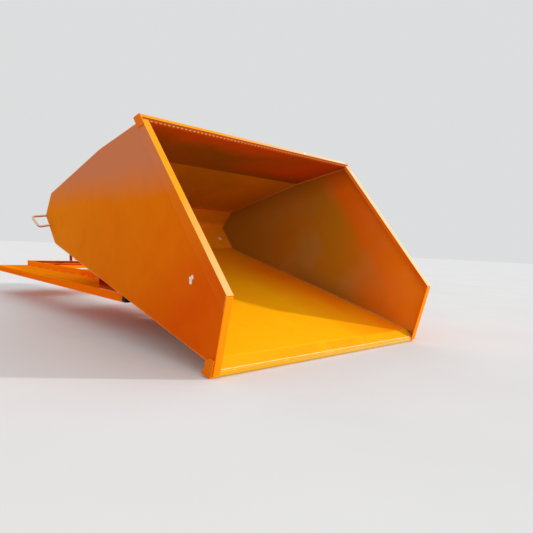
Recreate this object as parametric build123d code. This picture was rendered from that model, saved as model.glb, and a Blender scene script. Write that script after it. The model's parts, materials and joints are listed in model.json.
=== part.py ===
from build123d import *
import os
from math import asin, atan2, cos, degrees, hypot, radians, sin

# Tipping hopper: a sheet-steel bin that tips forward about a low axis on a base with fork tubes.
# Millimetres. +X right, +Y forward to the pouring lip, +Z up. The origin lies under the tipping axis,
# on the middle of the base's underside. The bin is drawn upright about the tipping axis, with its rim
# level, and then turned to its tipped pose, which is the pose the part is kept in.

# Bin, outer faces
bin_width = 1294.0
bin_height = 1120.0
rim_length = 900.0
rim_setback = 92.0
heel_rear = 419.0
back_foot_rise = 155.0
back_foot_lean = 20.0
back_knee_drop = 353.0
back_knee_reach = 336.0
lip_reach = 150.0
lip_drop = 213.0
sheet = 4.0

# Rim, edges and lip
rim_leg = 50.0
rim_top = 30.0
rim_return = 18.0
rim_sheet = 5.0
rear_bar_top = 28.0
rear_bar_drop = 48.0
wall_lap = 12.0
rear_bar_lean = 27.0
rear_bar_foot_drop = 44.0
rear_cap_reach = 62.0
section_wall = 4.0
edge_bar_width = 30.0
edge_bar_sheet = 5.0
lip_depth = 35.0
lip_foot_depth = 50.0
lip_foot_setback = 8.0
lip_tail = 66.0
lip_waist = 45.0
lip_waist_depth = 22.0
lip_top = 52.0
lip_cap_rise = 22.0
lip_cap_top = 25.0
lip_cap_sheet = 10.0
lip_nose = 28.0

# Tipping axis
pour_slope = 13.736
pivot_height = 139.0
hinge_depth = 68.9
hinge_offset = 262.0
hinge_boss = 35.0
pin_radius = 15.0
pin_fit = 0.05
bush_wall = 5.0
seat_fit = 0.02
lug_thickness = 20.0
lug_rear = 80.0
lug_front = 330.0
cheek_thickness = 10.0
cheek_gap = 40.0
cheek_half_foot = 80.0
bush_side_play = 1.5
pin_head = 8.0
pin_head_radius = 22.0
washer_sheet = 4.0
washer_radius = 24.0
pin_tail = 8.0
split_pin_radius = 2.5
split_pin_length = 46.0

# Base
fork_width = 200.0
fork_height = 80.0
fork_wall = 6.0
fork_centre = 262.5
base_rear = 1755.0
fork_front = 500.0
tube_rear = 560.0
rail_sheet = 8.0
fork_way = 43.0
channel_front = 592.0
channel_inset = 39.5
channel_height = 40.0
channel_sheet = 5.0
beam_wall = 5.0
beam_depth = 80.0
mid_beam_height = 60.0
low_beam_height = 64.0
low_beam_depth = 60.0
deck_front = 1270.0
deck_height = 48.0
deck_sheet = 5.0
buffer_thickness = 32.0
rest_pad_thickness = 4.0
rest_pad_width = 100.0
rest_pad_inset = 20.0
seat_clearance = 0.3
stop_thickness = 10.0
stop_inset = 4.5
stop_rear = 323.0
stop_pad_thickness = 12.0
stop_pad_width = 24.0
chain_lug_offset = 100.0
chain_lug_thickness = 12.0
chain_lug_reach = 40.0
chain_lug_radius = 18.5
chain_hole = 10.0
chain_lug_height = 61.5

# Latch, rod and lever
latch_offset = 45.0
latch_travel = 28.0
keeper_rise = 121.0
keeper_standoff = 65.0
keeper_radius = 10.0
keeper_half = 60.0
keeper_lug = 10.0
keeper_boss = 18.0
keeper_lug_half = 25.0
hook_drop = 55.0
hook_lead = 5.0
hook_gap = 1.0
hook_throat = 15.0
hook_bar = 20.0
hook_nose = 13.0
hook_bevel = 14.0
latch_plate = 16.0
latch_hub = 16.0
latch_bolt = 8.0
bolt_fit = 0.05
bolt_head = 13.0
bolt_head_height = 10.0
nut_height = 13.0
latch_cheek_gap = 60.0
lever_cheek_gap = 100.0
latch_cheek_sheet = 8.0
latch_cheek_boss = 25.0
hub_side_play = 1.0
tail_length = 50.0
tail_boss = 14.0
rod_pin = 6.0
rod_pin_head = 9.0
rod_pin_cap = 3.0
rod_radius = 6.0
rod_eye = 10.0
rod_side_play = 1.5
open_pivot_fit = 0.3
lever_arm_half = 15.0
handle_radius = 11.0
handle_length = 285.0
grip_length = 110.0
grip_wall = 4.0
grip_gap = 14.0

# Grab handles and stiffener
handle_rod = 6.0
handle_rear = 410.0
handle_front = 335.0
handle_reach_rear = 85.5
handle_reach_front = 63.5
handle_skew = 18.0
handle_bend = 14.0
handle_rise = 8.0
stiffener_leg = 50.0
stiffener_sheet = 5.0
stiffener_at = 1000.0
stiffener_inset = 75.0

# Derived places
half = bin_width / 2
inner_half = half - sheet
channel_outer = half - channel_inset
floor_z = fork_height + rest_pad_thickness + seat_clearance - pivot_height
rim_z = floor_z + bin_height
rim_rear = rim_setback
rim_front = rim_rear + rim_length
wall_y = rim_rear + rear_bar_top
fork_inner = fork_centre - fork_width / 2
fork_outer = fork_centre + fork_width / 2
cheek_inner = hinge_offset - cheek_gap / 2 - cheek_thickness
cheek_outer = hinge_offset + cheek_gap / 2 + cheek_thickness

nodes = {}


# Shapes used again and again

def box(x0, x1, y0, y1, z0, z1):
    """Block between six faces."""
    middle = Pos((x0 + x1) / 2, (y0 + y1) / 2, (z0 + z1) / 2)
    return middle * Box(x1 - x0, y1 - y0, z1 - z0)


def cut_plate(points, x0, x1):
    """Plate between two X faces, cut to an outline of (y, z) points."""
    face = make_face(Polyline(*[(0, y, z) for y, z in points], close=True))
    return Pos(x0, 0, 0) * extrude(face, amount=x1 - x0, dir=(1, 0, 0))


def bar_x(centre, radius, x0, x1):
    """Round bar along X about a (y, z) centre."""
    y, z = centre
    return Pos((x0 + x1) / 2, y, z) * Rot(0, 90, 0) * Cylinder(radius, x1 - x0)


def strap(p, q, radius, x0, x1):
    """Flat strap with round ends between two (y, z) centres."""
    length = hypot(q[0] - p[0], q[1] - p[1])
    side_y = -(q[1] - p[1]) / length * radius
    side_z = (q[0] - p[0]) / length * radius
    corners = [
        (p[0] + side_y, p[1] + side_z),
        (q[0] + side_y, q[1] + side_z),
        (q[0] - side_y, q[1] - side_z),
        (p[0] - side_y, p[1] - side_z),
    ]
    return cut_plate(corners, x0, x1) + bar_x(p, radius, x0, x1) + bar_x(q, radius, x0, x1)


def tube_box(x0, x1, y0, y1, z0, z1, wall, along):
    """Box tube open at both ends along one axis."""
    if along == "X":
        bore = box(x0 - 1, x1 + 1, y0 + wall, y1 - wall, z0 + wall, z1 - wall)
    else:
        bore = box(x0 + wall, x1 - wall, y0 - 1, y1 + 1, z0 + wall, z1 - wall)
    return box(x0, x1, y0, y1, z0, z1) - bore


def unit(p, q):
    length = hypot(q[0] - p[0], q[1] - p[1])
    return ((q[0] - p[0]) / length, (q[1] - p[1]) / length)


def meet(p, d, q, e):
    """Point where the line from p along d crosses the line from q along e."""
    t = ((q[0] - p[0]) * e[1] - (q[1] - p[1]) * e[0]) / (d[0] * e[1] - d[1] * e[0])
    return (p[0] + d[0] * t, p[1] + d[1] * t)


def inset(points, thickness, closed):
    """Mitred copy of an outline, moved to its left by a thickness."""
    count = len(points)
    pairs = count if closed else count - 1
    normals = []
    for i in range(pairs):
        d = unit(points[i], points[(i + 1) % count])
        normals.append((-d[1], d[0]))
    moved = []
    for i, (y, z) in enumerate(points):
        before = normals[i - 1] if closed or i > 0 else normals[i]
        after = normals[i] if i < pairs else normals[i - 1]
        share = thickness / (1 + before[0] * after[0] + before[1] * after[1])
        moved.append((y + (before[0] + after[0]) * share, z + (before[1] + after[1]) * share))
    return moved


def hollow(points, wall, x0, x1):
    """Formed hollow section along X."""
    core = cut_plate(inset(points, wall, True), x0 - 1, x1 + 1)
    return cut_plate(points, x0, x1) - core


def mirrored(shape):
    return mirror(shape, about=Plane.YZ)


def add_pair(name, right):
    """A piece on the right and its mirror on the left."""
    nodes[name + "_right"] = right
    nodes[name + "_left"] = mirrored(right)


# Bin profile about the tipping axis, upright: from the rear rim down, along the floor and up the chute
wall_top = (wall_y, rim_z)
wall_fold = (wall_y, rim_z - wall_lap)
foot = (-heel_rear, floor_z)
back_foot = (foot[0] - back_foot_lean, floor_z + back_foot_rise)
back_knee = (back_foot[0] + back_knee_reach, rim_z - back_knee_drop)
rim_corner = (rim_front, rim_z)
lip_corner = (rim_front + lip_reach, rim_z - lip_drop)

# The chute runs down from the lip, the hinge depth above the tipping axis, to the bin's level foot
chute_angle = atan2(lip_corner[1], lip_corner[0]) - asin(hinge_depth / hypot(*lip_corner))
chute_dir = (cos(chute_angle), sin(chute_angle))
toe = meet(lip_corner, chute_dir, foot, (1, 0))
heel_length = toe[0] - foot[0]
tip_angle = degrees(chute_angle) + pour_slope
chute_out = (chute_dir[1], -chute_dir[0])
edge_dir = unit(rim_corner, lip_corner)
edge_in = (edge_dir[1], -edge_dir[0])
edge_start = (rim_corner[0] + edge_in[0] * edge_bar_sheet, rim_corner[1] + edge_in[1] * edge_bar_sheet)
chute_inner = (toe[0] - chute_out[0] * sheet, toe[1] - chute_out[1] * sheet)
chute_end = meet(toe, chute_dir, edge_start, edge_dir)
chute_end_inner = meet(chute_inner, chute_dir, edge_start, edge_dir)

skin = [wall_top, wall_fold, back_knee, back_foot, foot, toe, chute_end]
skin_inner = inset(skin, sheet, False)
skin_inner[-1] = chute_end_inner


def chute_point(s, n):
    """Point s along the chute from its toe and n out from its underside."""
    y = toe[0] + chute_dir[0] * s + chute_out[0] * n
    z = toe[1] + chute_dir[1] * s + chute_out[1] * n
    return (y, z)


def lip_point(s, n):
    """Point s ahead of the chute's end, along the chute, and n down the front edge from it."""
    return (chute_end[0] + chute_dir[0] * s + edge_dir[0] * n, chute_end[1] + chute_dir[1] * s + edge_dir[1] * n)


def edge_at(start, z):
    """Point at a height on a line that runs along the front edge."""
    return meet(start, edge_dir, (0, z), (1, 0))


def tipped(shape):
    """Turns an upright piece of the bin to the kept pose."""
    return Pos(0, 0, pivot_height) * Rot(-tip_angle, 0, 0) * shape


def tipped_point(p):
    turn = radians(tip_angle)
    y = p[0] * cos(turn) + p[1] * sin(turn)
    z = pivot_height - p[0] * sin(turn) + p[1] * cos(turn)
    return (y, z)


def skin_plate(first, last):
    """Sheet that follows the profile between two of its corners."""
    outline = skin[first:last + 1] + skin_inner[first:last + 1][::-1]
    return tipped(cut_plate(outline, -inner_half, inner_half))


# Bin sheets
nodes["rear_wall"] = skin_plate(0, 3)
nodes["heel_plate"] = skin_plate(3, 5)

# The chute's front edge is pressed down over the lip bar
chute_skin = [toe, lip_point(-lip_top, 0), lip_point(0, lip_nose)]
nose_dir = unit(chute_skin[1], chute_skin[2])
chute_top = inset(chute_skin, sheet, False)
chute_top[0] = skin_inner[5]
chute_top[2] = meet(chute_top[1], nose_dir, edge_start, edge_dir)
nodes["chute_plate"] = tipped(cut_plate(chute_skin + chute_top[::-1], -inner_half, inner_half))

under_rim = rim_z - rim_sheet
side_outline = [(wall_y, under_rim)] + skin[1:] + [edge_at(edge_start, under_rim)]
add_pair("side_plate", tipped(cut_plate(side_outline, inner_half, half)))

# Rear rim bar with its end caps
bar_back = [(rim_rear, rim_z), (rim_rear - rear_bar_lean, rim_z - rear_bar_foot_drop)]
bar_foot = meet(wall_fold, unit(wall_fold, back_knee), (0, rim_z - rear_bar_drop), (1, 0))
bar_outline = bar_back + [bar_foot, wall_fold, wall_top]
nodes["rear_rim_bar"] = tipped(hollow(bar_outline, section_wall, -half, half))
cap_outline = bar_back + [(wall_y, rim_z - rear_bar_drop), (rim_rear + rear_cap_reach, rim_z)]
rear_cap = tipped(cut_plate(cap_outline, half, half + rim_sheet))
nodes["rear_bar_caps"] = rear_cap + mirrored(rear_cap)

# Side rims: folded section, level over the side plate, with a leg outside it and a short return inside
rim_inner = half + rim_sheet - rim_top
level_leg = box(rim_inner, half, wall_y + sheet, rim_front, under_rim, rim_z)
return_outline = [
    (wall_y + sheet, under_rim),
    (wall_y + sheet, rim_z - rim_return),
    edge_at(edge_start, rim_z - rim_return),
    edge_at(edge_start, under_rim),
]
return_leg = cut_plate(return_outline, rim_inner, rim_inner + rim_sheet)
leg_start = rim_rear + rear_cap_reach
corner_strip = box(half, half + rim_sheet, leg_start, rim_front, under_rim, rim_z)
leg_foot = rim_z - rim_leg
edge_top = edge_at(rim_corner, under_rim)
leg_outline = [
    (leg_start, under_rim),
    (leg_start, leg_foot),
    edge_at(edge_start, leg_foot),
    edge_at(edge_start, under_rim),
]
upright_leg = cut_plate(leg_outline, half, half + rim_sheet)
add_pair("side_rim", tipped(level_leg + return_leg + corner_strip + upright_leg))

# Front edge bars and pouring lip
edge_outline = [
    edge_top,
    edge_at(edge_start, under_rim),
    lip_point(0, lip_depth),
    lip_point(edge_bar_sheet, lip_depth),
]
edge_bar = cut_plate(edge_outline, half + rim_sheet - edge_bar_width, half + rim_sheet)
add_pair("front_edge_bar", tipped(edge_bar))

lip_outline = [
    lip_point(0, lip_nose),
    lip_point(-lip_top, 0),
    lip_point(-lip_waist, lip_waist_depth),
    lip_point(-lip_tail, lip_foot_depth),
    lip_point(-lip_foot_setback, lip_foot_depth),
    lip_point(0, lip_depth),
]
nodes["lip_bar"] = tipped(hollow(lip_outline, section_wall, -half, half))
lip_cap_outline = lip_outline[1:] + [lip_point(0, -lip_cap_rise), lip_point(-lip_cap_top, -lip_cap_rise)]
lip_cap = tipped(cut_plate(lip_cap_outline, half, half + lip_cap_sheet))
nodes["lip_bar_caps"] = lip_cap + mirrored(lip_cap)

# Stiffener across the underside of the chute
stiffener_outline = [
    chute_point(stiffener_at, 0),
    chute_point(stiffener_at, stiffener_leg),
    chute_point(stiffener_at + stiffener_sheet, stiffener_leg),
    chute_point(stiffener_at + stiffener_sheet, stiffener_sheet),
    chute_point(stiffener_at + stiffener_leg, stiffener_sheet),
    chute_point(stiffener_at + stiffener_leg, 0),
]
stiffener_half = half - stiffener_inset
nodes["chute_stiffener"] = tipped(cut_plate(stiffener_outline, -stiffener_half, stiffener_half))

# Hinge lugs under the chute, each with a bronze bush
bush_radius = pin_radius + pin_fit + bush_wall
lug_outline = [
    chute_point(lug_rear, 0),
    chute_point(lug_front, 0),
    (chute_dir[0] * hinge_boss, chute_dir[1] * hinge_boss),
    (-chute_dir[0] * hinge_boss, -chute_dir[1] * hinge_boss),
]
lug_x0 = hinge_offset - lug_thickness / 2
lug_x1 = hinge_offset + lug_thickness / 2
hinge_lug = cut_plate(lug_outline, lug_x0, lug_x1) + bar_x((0, 0), hinge_boss, lug_x0, lug_x1)
hinge_lug -= bar_x((0, 0), bush_radius + seat_fit, lug_x0 - 1, lug_x1 + 1)
add_pair("hinge_lug", tipped(hinge_lug))

bush_x0 = hinge_offset - cheek_gap / 2 + bush_side_play
bush_x1 = hinge_offset + cheek_gap / 2 - bush_side_play
hinge_bush = bar_x((0, 0), bush_radius, bush_x0, bush_x1)
hinge_bush -= bar_x((0, 0), pin_radius + pin_fit, bush_x0 - 1, bush_x1 + 1)
add_pair("hinge_bush", tipped(hinge_bush))

# Keeper bar behind the heel, between two lugs
keeper_z = floor_z + keeper_rise


def heel_back(z):
    """Rear face of the heel at a height."""
    return meet(foot, unit(foot, back_foot), (0, z), (1, 0))


keeper = (heel_back(keeper_z)[0] - keeper_standoff, keeper_z)
keeper_lug_outline = [
    heel_back(keeper_z + keeper_lug_half),
    (keeper[0], keeper_z + keeper_boss),
    (keeper[0], keeper_z - keeper_boss),
    heel_back(keeper_z - keeper_lug_half),
]
keeper_x0 = keeper_half - keeper_lug
keeper_lug_plate = cut_plate(keeper_lug_outline, keeper_x0, keeper_half)
keeper_lug_plate += bar_x(keeper, keeper_boss, keeper_x0, keeper_half)
keeper_lug_plate -= bar_x(keeper, keeper_radius + seat_fit, keeper_x0 - 1, keeper_half + 1)
keeper_lug_plate = tipped(keeper_lug_plate)
nodes["keeper_lugs"] = keeper_lug_plate + mirrored(keeper_lug_plate)
nodes["keeper_bar"] = tipped(bar_x(keeper, keeper_radius, -keeper_half, keeper_half))

# Grab handles, bent round bar on the foot of each side plate
handle_z = floor_z + handle_rise
handle_path = FilletPolyline(
    (half, -handle_rear, handle_z),
    (half + handle_reach_rear, -handle_rear + handle_skew, handle_z),
    (half + handle_reach_front, -handle_front + handle_skew, handle_z),
    (half, -handle_front, handle_z),
    radius=handle_bend,
)
start_plane = Plane(origin=handle_path @ 0, z_dir=handle_path % 0)
grab_handle = sweep(start_plane * Circle(handle_rod), path=handle_path)
handle_end = 2 * handle_rod
grab_handle -= box(
    half - handle_end,
    half,
    -handle_rear - handle_end,
    -handle_front + handle_end,
    handle_z - handle_end,
    handle_z + handle_end,
)
add_pair("grab_handle", tipped(grab_handle))

# Base: fork tubes under the bin, rails that guide the forks to them, side channels and cross members
fork_tube = tube_box(fork_inner, fork_outer, -tube_rear, fork_front, 0, fork_height, fork_wall, "Y")
add_pair("fork_tube", fork_tube)
rail_inner = fork_outer - rail_sheet
fork_rail = box(rail_inner, fork_outer, -base_rear, -tube_rear, 0, fork_height)
nodes["fork_rails"] = fork_rail + mirrored(fork_rail)
channel = box(fork_outer, channel_outer, -base_rear, channel_front, 0, channel_height)
channel -= box(
    fork_outer + channel_sheet,
    channel_outer - channel_sheet,
    -base_rear - 1,
    channel_front + 1,
    -1,
    channel_height - channel_sheet,
)
add_pair("side_channel", channel)
buffer = box(fork_outer, channel_outer, channel_front, channel_front + buffer_thickness, 0, channel_height)
add_pair("front_buffer", buffer)


def cross_beam(y0, height):
    return tube_box(-fork_inner, fork_inner, y0, y0 + beam_depth, 0, height, beam_wall, "X")


hook_pivot = (keeper[0] + hook_lead, pivot_height + keeper[1] - hook_drop)
latch_beam_rear = hook_pivot[0] - beam_depth + latch_cheek_boss
low_beam_front = -base_rear + beam_depth + low_beam_depth
low_beam_rear = -base_rear + beam_depth
nodes["rear_cross_beam"] = tube_box(
    -rail_inner, rail_inner, -base_rear, low_beam_rear, fork_way, fork_height, beam_wall, "X"
)
nodes["inner_cross_beam"] = tube_box(
    -rail_inner, rail_inner, low_beam_rear, low_beam_front, fork_way, low_beam_height, beam_wall, "X"
)
nodes["latch_beam"] = cross_beam(latch_beam_rear, fork_height)
nodes["pivot_beam"] = cross_beam(-beam_depth / 2, mid_beam_height)
nodes["front_cross_beam"] = cross_beam(fork_front - beam_depth, mid_beam_height)
nodes["rear_deck_plate"] = box(
    -rail_inner, rail_inner, low_beam_front, -deck_front, deck_height - deck_sheet, deck_height
)

# Rest pads under the heel
rest_pad = box(
    fork_centre - rest_pad_width / 2,
    fork_centre + rest_pad_width / 2,
    -heel_rear + rest_pad_inset,
    -heel_rear + heel_length - rest_pad_inset,
    fork_height,
    fork_height + rest_pad_thickness,
)
nodes["rest_pads"] = rest_pad + mirrored(rest_pad)

# Pivot cheeks, pins, washers and split pins
pivot = (0, pivot_height)
cheek_outline = [
    (-cheek_half_foot, fork_height),
    (cheek_half_foot, fork_height),
    (hinge_boss, pivot_height),
    (-hinge_boss, pivot_height),
]


def pivot_cheek(x0):
    cheek = cut_plate(cheek_outline, x0, x0 + cheek_thickness)
    cheek += bar_x(pivot, hinge_boss, x0, x0 + cheek_thickness)
    return cheek - bar_x(pivot, pin_radius + pin_fit, x0 - 1, x0 + cheek_thickness + 1)


add_pair("pivot_cheeks", pivot_cheek(cheek_inner) + pivot_cheek(cheek_outer - cheek_thickness))

washer_outer = cheek_outer + washer_sheet
split_x = washer_outer + split_pin_radius + 0.5
pin_end = split_x + split_pin_radius + pin_tail
pivot_pin = bar_x(pivot, pin_radius, cheek_inner - pin_head, pin_end)
pivot_pin += bar_x(pivot, pin_head_radius, cheek_inner - pin_head, cheek_inner)
pivot_pin -= Pos(split_x, 0, pivot_height) * Cylinder(split_pin_radius + seat_fit, 4 * pin_radius)
add_pair("pivot_pin", pivot_pin)

washer = bar_x(pivot, washer_radius, cheek_outer, washer_outer)
washer -= bar_x(pivot, pin_radius + pin_fit, cheek_outer - 1, washer_outer + 1)
nodes["pivot_washers"] = washer + mirrored(washer)
split_pin = Pos(split_x, 0, pivot_height) * Cylinder(split_pin_radius, split_pin_length)
nodes["split_pins"] = split_pin + mirrored(split_pin)

# Tip stops: gussets on the channels that carry a rubber pad under the tipped chute
stop_x1 = channel_outer - stop_inset
stop_x0 = stop_x1 - stop_thickness
stop_middle = (stop_x0 + stop_x1) / 2


def under_chute(y, gap):
    """Point a gap below the tipped chute at a place along the base."""
    low = tipped_point(chute_point(0, gap))
    high = tipped_point(chute_point(lug_front, gap))
    return meet(low, unit(low, high), (y, 0), (0, 1))


pad_foot = seat_clearance + stop_pad_thickness
stop_outline = [
    (stop_rear, channel_height),
    (channel_front, channel_height),
    under_chute(channel_front, pad_foot),
    under_chute(stop_rear, pad_foot),
]
add_pair("tip_stop", cut_plate(stop_outline, stop_x0, stop_x1))
pad_outline = [
    under_chute(stop_rear, pad_foot),
    under_chute(channel_front, pad_foot),
    under_chute(channel_front, seat_clearance),
    under_chute(stop_rear, seat_clearance),
]
stop_pad = cut_plate(pad_outline, stop_middle - stop_pad_width / 2, stop_middle + stop_pad_width / 2)
nodes["stop_pads"] = stop_pad + mirrored(stop_pad)

# Chain lugs on the rear beam
lug_eye = (-base_rear - chain_lug_reach, chain_lug_height)
chain_lug_outline = [
    (-base_rear, chain_lug_height - chain_lug_radius),
    (lug_eye[0], chain_lug_height - chain_lug_radius),
    (lug_eye[0], chain_lug_height + chain_lug_radius),
    (-base_rear, chain_lug_height + chain_lug_radius),
]
chain_x0 = chain_lug_offset - chain_lug_thickness / 2
chain_x1 = chain_lug_offset + chain_lug_thickness / 2
chain_lug = cut_plate(chain_lug_outline, chain_x0, chain_x1)
chain_lug += bar_x(lug_eye, chain_lug_radius, chain_x0, chain_x1)
chain_lug -= bar_x(lug_eye, chain_hole, chain_x0 - 1, chain_x1 + 1)
add_pair("chain_lug", chain_lug)

# Latch and lever stand between cheeks on their beams; hook and lever are drawn about their own pivots
lever_pivot = (-base_rear + beam_depth / 2, hook_pivot[1])
swing = latch_travel / 2
tail_back = (-tail_length * sin(radians(swing)), -tail_length * cos(radians(swing)))
plate_half = latch_plate / 2
eye_x0 = plate_half + rod_side_play
eye_x1 = eye_x0 + rod_eye
rod_x = (eye_x0 + eye_x1) / 2


def latch_cheek(centre, gap):
    """Cheek standing on a beam's top, on the right of the latch or lever."""
    x0 = gap / 2
    x1 = x0 + latch_cheek_sheet
    y, z = centre
    outline = [(y - latch_cheek_boss, fork_height), (y + latch_cheek_boss, fork_height)]
    outline += [(y + latch_cheek_boss, z), (y - latch_cheek_boss, z)]
    cheek = cut_plate(outline, x0, x1) + bar_x(centre, latch_cheek_boss, x0, x1)
    return cheek - bar_x(centre, latch_bolt + bolt_fit, x0 - 1, x1 + 1)


def cross_bolt(centre, gap):
    """Headed bolt through a pair of cheeks, its head on the right."""
    outer = gap / 2 + latch_cheek_sheet
    shank = bar_x(centre, latch_bolt, -outer - nut_height - 2, outer)
    y, z = centre
    head = Pos(outer, y, z) * Rot(0, 90, 0) * extrude(RegularPolygon(bolt_head, 6), amount=bolt_head_height)
    return shank + head


def lock_nut(centre, gap):
    outer = gap / 2 + latch_cheek_sheet
    y, z = centre
    nut = extrude(RegularPolygon(bolt_head, 6), amount=nut_height)
    nut -= Cylinder(latch_bolt + seat_fit, 3 * nut_height)
    return Pos(-outer - nut_height, y, z) * Rot(0, 90, 0) * nut


add_pair("latch_cheek", latch_cheek(hook_pivot, latch_cheek_gap))
add_pair("lever_cheek", latch_cheek(lever_pivot, lever_cheek_gap))
nodes["latch_bolt"] = cross_bolt(hook_pivot, latch_cheek_gap)
nodes["lever_bolt"] = cross_bolt(lever_pivot, lever_cheek_gap)
nodes["lock_nuts"] = lock_nut(hook_pivot, latch_cheek_gap) + lock_nut(lever_pivot, lever_cheek_gap)


def hub_bar(gap):
    """Tube that turns on a cross bolt between the cheeks."""
    reach = gap / 2 - hub_side_play
    return bar_x((0, 0), latch_hub, -reach, reach)


def bored(shape, gap, tail):
    """Bolt bore and rod-pin hole of the hook or the lever."""
    shape -= bar_x((0, 0), latch_bolt + bolt_fit, -gap, gap)
    return shape - bar_x(tail, rod_pin + seat_fit, -gap, gap)


def tail_pin(tail):
    """Headed pin in the tail, which the rod's eye turns on."""
    cap_x0 = eye_x1 + rod_side_play
    shank = bar_x(tail, rod_pin, -plate_half, cap_x0 + rod_pin_cap)
    return shank + bar_x(tail, rod_pin_head, cap_x0, cap_x0 + rod_pin_cap)


# Hook, drawn latched over the keeper and then swung open
nose_foot = hook_drop + keeper_radius + hook_gap
throat_back = -hook_lead - hook_throat
hook_outline = [
    (throat_back, 0),
    (throat_back, nose_foot),
    (hook_nose, nose_foot),
    (hook_nose, nose_foot + hook_bar - hook_bevel),
    (hook_nose - hook_bar, nose_foot + hook_bar),
    (throat_back - hook_bar, nose_foot + hook_bar),
    (throat_back - hook_bar, 0),
]
hook = cut_plate(hook_outline, -plate_half, plate_half)
hook += strap((0, 0), (throat_back - hook_bar / 2, 0), latch_hub, -plate_half, plate_half)
hook += strap((0, 0), tail_back, tail_boss, -plate_half, plate_half)
hook += hub_bar(latch_cheek_gap)
hook_open = Pos(0, *hook_pivot) * Rot(latch_travel, 0, 0)
nodes["latch_hook"] = hook_open * bored(hook, latch_cheek_gap, tail_back)
nodes["hook_rod_pin"] = hook_open * tail_pin(tail_back)

# Lever, drawn upright and then pulled back
tail_down = (0, -tail_length)
grip_top = handle_length + grip_wall
lever_arm = grip_top - grip_length - grip_gap - lever_arm_half
lever = strap((0, 0), (0, lever_arm), lever_arm_half, -plate_half, plate_half)
lever += strap((0, 0), tail_down, tail_boss, -plate_half, plate_half)
lever += hub_bar(lever_cheek_gap)
handle_foot = lever_arm - 2 * lever_arm_half
lever += Pos(0, 0, (handle_foot + handle_length) / 2) * Cylinder(handle_radius, handle_length - handle_foot)
lever_open = Pos(0, *lever_pivot) * Rot(swing, 0, 0)
nodes["release_lever"] = lever_open * bored(lever, lever_cheek_gap, tail_down)
nodes["lever_rod_pin"] = lever_open * tail_pin(tail_down)

grip = Pos(0, 0, grip_top - grip_length / 2) * Cylinder(handle_radius + grip_wall, grip_length)
grip -= Pos(0, 0, handle_length / 2) * Cylinder(handle_radius + pin_fit, handle_length)
nodes["lever_grip"] = lever_open * grip

# Pull rod from the lever's tail to the hook's tail
rod_z = hook_pivot[1] + tail_back[1]
rod_rear = (lever_pivot[0] - tail_back[0], rod_z)
rod_front = (hook_pivot[0] - tail_back[0], rod_z)
rod_length = rod_front[0] - rod_rear[0]
rod = Pos(rod_x, (rod_rear[0] + rod_front[0]) / 2, rod_z) * Rot(90, 0, 0) * Cylinder(rod_radius, rod_length)
rod += bar_x(rod_rear, tail_boss, eye_x0, eye_x1) + bar_x(rod_front, tail_boss, eye_x0, eye_x1)
rod -= bar_x(rod_rear, rod_pin + pin_fit, eye_x0 - 5, eye_x1 + 5)
rod -= bar_x(rod_front, rod_pin + open_pivot_fit, eye_x0 - 5, eye_x1 + 5)
nodes["pull_rod"] = rod

# The latch, its rod and its lever sit to the left of the middle
latch_train = ["latch_cheek_left", "latch_cheek_right", "lever_cheek_left", "lever_cheek_right"]
latch_train += ["latch_bolt", "lever_bolt", "lock_nuts", "latch_hook", "hook_rod_pin", "keeper_lugs", "keeper_bar"]
latch_train += ["release_lever", "lever_rod_pin", "lever_grip", "pull_rod"]
for name in latch_train:
    nodes[name] = Pos(-latch_offset, 0, 0) * nodes[name]

os.makedirs("parts", exist_ok=True)
for name, shape in nodes.items():
    export_step(shape, f"parts/{name}.step")
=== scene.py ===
import json
import math

import bpy
from mathutils import Matrix, Vector


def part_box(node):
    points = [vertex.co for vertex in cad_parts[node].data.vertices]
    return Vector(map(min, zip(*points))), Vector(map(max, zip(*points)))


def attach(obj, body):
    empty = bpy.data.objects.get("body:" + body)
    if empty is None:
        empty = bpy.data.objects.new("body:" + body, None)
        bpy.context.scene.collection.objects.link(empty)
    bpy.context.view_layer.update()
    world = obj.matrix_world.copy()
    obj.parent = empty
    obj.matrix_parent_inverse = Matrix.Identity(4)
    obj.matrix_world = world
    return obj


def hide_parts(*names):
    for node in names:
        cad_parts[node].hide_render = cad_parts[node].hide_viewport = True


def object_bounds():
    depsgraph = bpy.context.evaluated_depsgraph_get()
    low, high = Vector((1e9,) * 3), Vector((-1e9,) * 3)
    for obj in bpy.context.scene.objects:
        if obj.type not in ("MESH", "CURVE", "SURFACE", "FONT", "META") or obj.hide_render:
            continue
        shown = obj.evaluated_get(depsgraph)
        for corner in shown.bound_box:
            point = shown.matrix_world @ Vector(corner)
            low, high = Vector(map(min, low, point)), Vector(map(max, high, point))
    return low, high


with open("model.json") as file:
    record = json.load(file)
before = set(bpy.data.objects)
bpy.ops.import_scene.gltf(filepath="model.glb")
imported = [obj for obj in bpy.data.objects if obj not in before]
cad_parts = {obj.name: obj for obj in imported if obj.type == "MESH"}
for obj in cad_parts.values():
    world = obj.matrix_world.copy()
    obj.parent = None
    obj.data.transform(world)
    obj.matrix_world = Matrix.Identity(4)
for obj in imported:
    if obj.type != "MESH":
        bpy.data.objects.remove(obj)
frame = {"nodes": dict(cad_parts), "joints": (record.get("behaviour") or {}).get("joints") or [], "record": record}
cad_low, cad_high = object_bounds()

ops = bpy.ops
context = bpy.context
nodes = frame["nodes"]
bodies = frame["record"]["behaviour"]["bodies"]
body_of_node = {node: body for body, members in bodies.items() for node in members}
slot_of_node = {part["node"]: part["material_slot"] for part in frame["record"]["subparts"]}
SIDES = (("left", -1), ("right", 1))

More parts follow.
